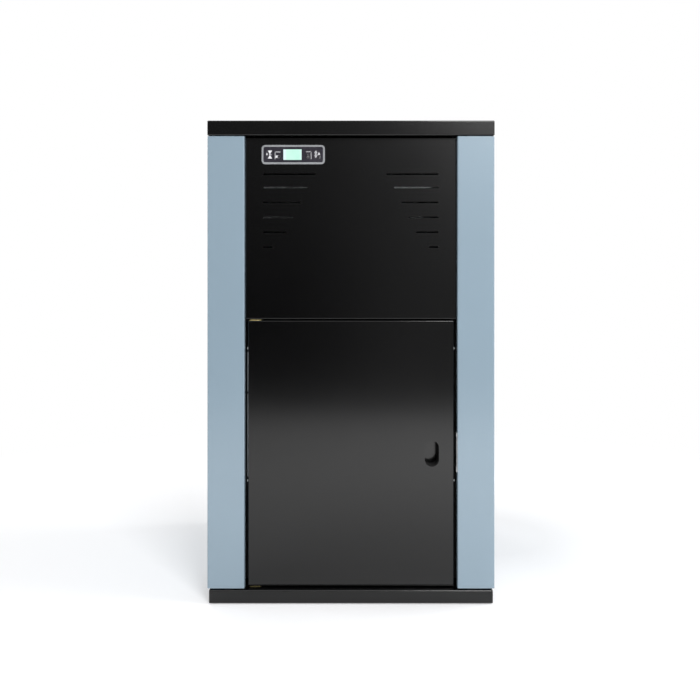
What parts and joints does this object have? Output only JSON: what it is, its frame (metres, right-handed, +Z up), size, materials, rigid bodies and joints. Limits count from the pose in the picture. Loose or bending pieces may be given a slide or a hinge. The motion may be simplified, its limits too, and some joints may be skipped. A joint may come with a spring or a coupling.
{
  "type": "pellet boiler",
  "caption": "Free-standing pellet boiler with a hopper lid, a louvred control panel, a recessed front door, side pilasters and rear flue and water connections.",
  "frame": {"origin": "on the floor below the middle of the overall box", "axes": "+Z up, the front with its door and display faces -Y, +X to the right as seen from the front"},
  "size_m": [0.72, 0.75, 1.21],
  "materials": {
    "dark_panel_paint": "glossy dark graphite paint",
    "silver_paint": "fine satin silver-grey paint",
    "side_paint": "fine satin silver-grey paint",
    "black_frame_paint": "matt black powder coat",
    "galvanised_sheet": "galvanised",
    "bright_fittings": "zinc plated",
    "bushes": "turned",
    "pull_plastic": "satin black moulding",
    "seal_rubber": "matt",
    "boiler_steel": "heat-resistant dark grey paint",
    "insulation_board": "foil-faced mineral wool",
    "cast_burner": "heat tinted",
    "fire_door_iron": "black stove paint",
    "rope": "braided glass rope",
    "igniter_ceramic": "unglazed",
    "auger_steel": "worn bright",
    "motor_housing": "cast",
    "impeller_steel": "stainless",
    "air_pipe_steel": "galvanised",
    "pipe_brass": "satin",
    "pump_iron": "enamel",
    "vessel_red": "gloss enamel",
    "black_moulding": "fine texture",
    "unit_case": "fine texture",
    "bezel_grey": "satin light grey",
    "fascia_film": "dark film",
    "key_film": "dark film with white symbols",
    "display_glass": "lit mint display",
    "board": "green laminate"
  },
  "bodies": {
    "cabinet": {"base_plinth": "dark_panel_paint", "levelling_feet": "bright_fittings", "chassis_frame": "galvanised_sheet", "front_frame": "black_frame_paint", "left_pilaster": "silver_paint", "right_pilaster": "silver_paint", "left_side_panel": "side_paint", "right_side_panel": "side_paint", "rear_cover": "galvanised_sheet", "casing_screws": "bright_fittings", "front_upper_panel": "dark_panel_paint", "top_deck": "galvanised_sheet", "top_cover": "dark_panel_paint", "lid_hinge_pins": "bright_fittings", "door_hinges": "black_frame_paint", "door_seal": "seal_rubber", "door_catches": "bright_fittings", "boiler_body": "boiler_steel", "insulation_panels": "insulation_board", "fire_door_hinges": "black_frame_paint", "burn_pot": "cast_burner", "igniter": "igniter_ceramic", "auger_tube": "auger_steel", "feed_gearmotor": "motor_housing", "hopper": "galvanised_sheet", "hopper_guard": "galvanised_sheet", "hopper_gasket": "seal_rubber", "smoke_box": "galvanised_sheet", "fan_housing": "galvanised_sheet", "fan_motor": "motor_housing", "flue_collar": "black_frame_paint", "air_intake_pipe": "air_pipe_steel", "flow_pipe": "pipe_brass", "return_pipe": "pipe_brass", "circulation_pump": "pump_iron", "expansion_vessel": "vessel_red", "safety_valve": "pipe_brass", "mains_inlet": "black_moulding", "control_unit": "unit_case", "control_bezel": "bezel_grey", "control_fascia": "fascia_film", "display_window": "display_glass", "circuit_board": "board"},
    "door": {"door_skin": "dark_panel_paint", "door_liner": "galvanised_sheet", "finger_pull": "pull_plastic", "door_side_fittings": "bright_fittings", "door_bushes": "bushes"},
    "hopper_lid": {"hopper_lid": "dark_panel_paint"},
    "fire_door": {"fire_door": "fire_door_iron", "fire_door_gasket": "rope"},
    "fire_door_handle": {"fire_door_handle": "fire_door_iron"},
    "ash_drawer": {"ash_drawer": "auger_steel"},
    "key_1": {"key_1": "key_film"},
    "key_2": {"key_2": "key_film"},
    "key_3": {"key_3": "key_film"},
    "key_4": {"key_4": "key_film"},
    "mains_switch": {"mains_switch": "black_moulding"},
    "auger": {"auger_screw": "auger_steel"},
    "fan": {"fan_impeller": "impeller_steel"}
  },
  "joints": [
    {"name": "door_hinge", "type": "hinge", "parent": "cabinet", "child": "door", "pos_m": [-0.246, -0.34, 0.37], "axis": [0, 0, -1], "range_deg": [0, 95]},
    {"name": "hopper_lid_hinge", "type": "hinge", "parent": "cabinet", "child": "hopper_lid", "pos_m": [0, 0.304, 1.2045], "axis": [-1, 0, 0], "range_deg": [0, 75]},
    {"name": "fire_door_hinge", "type": "hinge", "parent": "cabinet", "child": "fire_door", "pos_m": [-0.192, -0.2013, 0.36383], "axis": [0, 0, -1], "range_deg": [0, 8]},
    {"name": "fire_door_latch", "type": "hinge", "parent": "fire_door", "child": "fire_door_handle", "pos_m": [0.142, -0.214, 0.36383], "axis": [0, 1, 0], "range_deg": [0, 88]},
    {"name": "ash_drawer_slide", "type": "slide", "parent": "cabinet", "child": "ash_drawer", "axis": [0, -1, 0], "range_m": [0, 0.06]},
    {"name": "mains_switch_rock", "type": "hinge", "parent": "cabinet", "child": "mains_switch", "pos_m": [0.252, 0.3425, 0.359], "axis": [1, 0, 0], "range_deg": [0, 16]},
    {"name": "auger_spin", "type": "hinge", "parent": "cabinet", "child": "auger", "pos_m": [0, 0, 0.7695], "axis": [0, 1, 0], "continuous": true},
    {"name": "fan_spin", "type": "hinge", "parent": "cabinet", "child": "fan", "pos_m": [0.205, 0.204, 0.2045], "axis": [1, 0, 0], "continuous": true},
    {"name": "key_1_press", "type": "slide", "parent": "cabinet", "child": "key_1", "axis": [0, 1, 0], "range_m": [0, 0.0006], "stiffness_N_per_m": 1200},
    {"name": "key_2_press", "type": "slide", "parent": "cabinet", "child": "key_2", "axis": [0, 1, 0], "range_m": [0, 0.0006], "stiffness_N_per_m": 1200},
    {"name": "key_3_press", "type": "slide", "parent": "cabinet", "child": "key_3", "axis": [0, 1, 0], "range_m": [0, 0.0006], "stiffness_N_per_m": 1200},
    {"name": "key_4_press", "type": "slide", "parent": "cabinet", "child": "key_4", "axis": [0, 1, 0], "range_m": [0, 0.0006], "stiffness_N_per_m": 1200}
  ]
}
